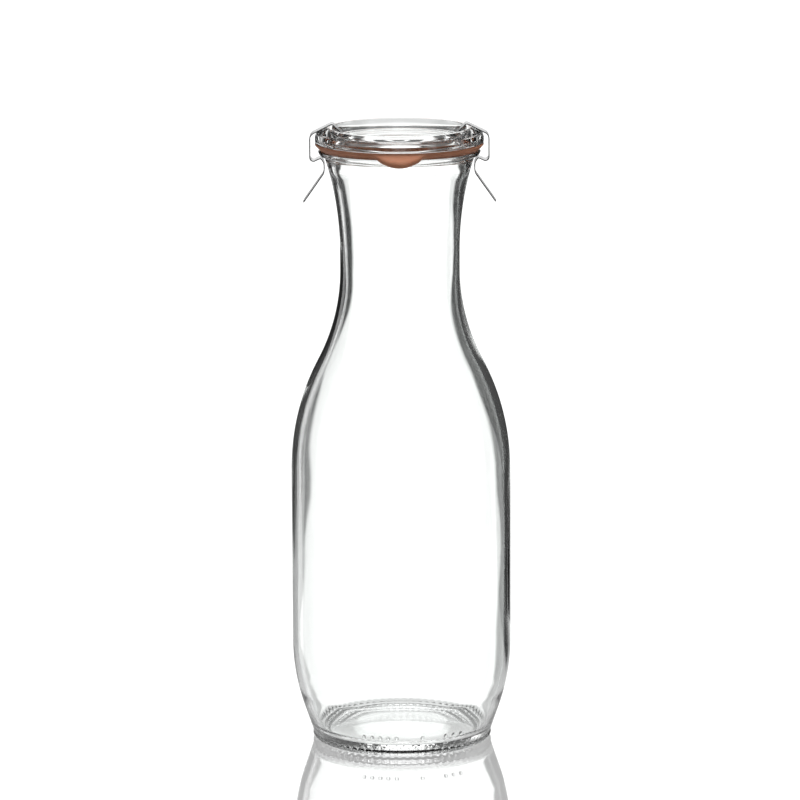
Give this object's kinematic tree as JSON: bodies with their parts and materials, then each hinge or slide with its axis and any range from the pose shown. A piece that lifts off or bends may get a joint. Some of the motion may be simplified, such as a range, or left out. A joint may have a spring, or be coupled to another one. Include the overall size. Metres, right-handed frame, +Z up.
{
  "type": "growler",
  "caption": "Clear glass carafe with a waisted neck, a flat glass lid on a rubber sealing ring and spring strip clamps, for keeping and pouring juice or wine.",
  "frame": {"origin": "centre of the foot, on the surface the bottle stands on", "axes": "+Z up along the bottle axis, -Y toward the pull tab of the sealing ring, +X toward clamp_right"},
  "size_m": [0.092, 0.092, 0.2611],
  "materials": {
    "bottle_glass": "clear gloss",
    "lid_glass": "clear gloss",
    "ring_rubber": "satin",
    "clamp_steel": "bright rolled"
  },
  "bodies": {
    "bottle": {"bottle": "bottle_glass"},
    "lid": {"lid": "lid_glass"},
    "sealing_ring": {"sealing_ring": "ring_rubber"},
    "clamp_left": {"clamp_left": "clamp_steel"},
    "clamp_right": {"clamp_right": "clamp_steel"}
  },
  "joints": [
    {"name": "lid_lift", "type": "slide", "parent": "bottle", "child": "lid", "axis": [0, 0, 1], "range_m": [0, 0.006]},
    {"name": "ring_lift", "type": "slide", "parent": "bottle", "child": "sealing_ring", "axis": [0, 0, 1], "range_m": [0, 0.003]},
    {"name": "clamp_left_swing", "type": "hinge", "parent": "lid", "child": "clamp_left", "pos_m": [-0.0234, 0, 0.25675], "axis": [0, 1, 0], "range_deg": [0, 105]},
    {"name": "clamp_right_swing", "type": "hinge", "parent": "lid", "child": "clamp_right", "pos_m": [0.0234, 0, 0.25675], "axis": [0, -1, 0], "range_deg": [0, 105]}
  ],
  "couplings": [
    {"joint": "ring_lift", "follows": "lid_lift", "ratio": 0.5},
    {"joint": "clamp_left_swing", "follows": "lid_lift", "rad_per_m": 305},
    {"joint": "clamp_right_swing", "follows": "lid_lift", "rad_per_m": 305}
  ]
}
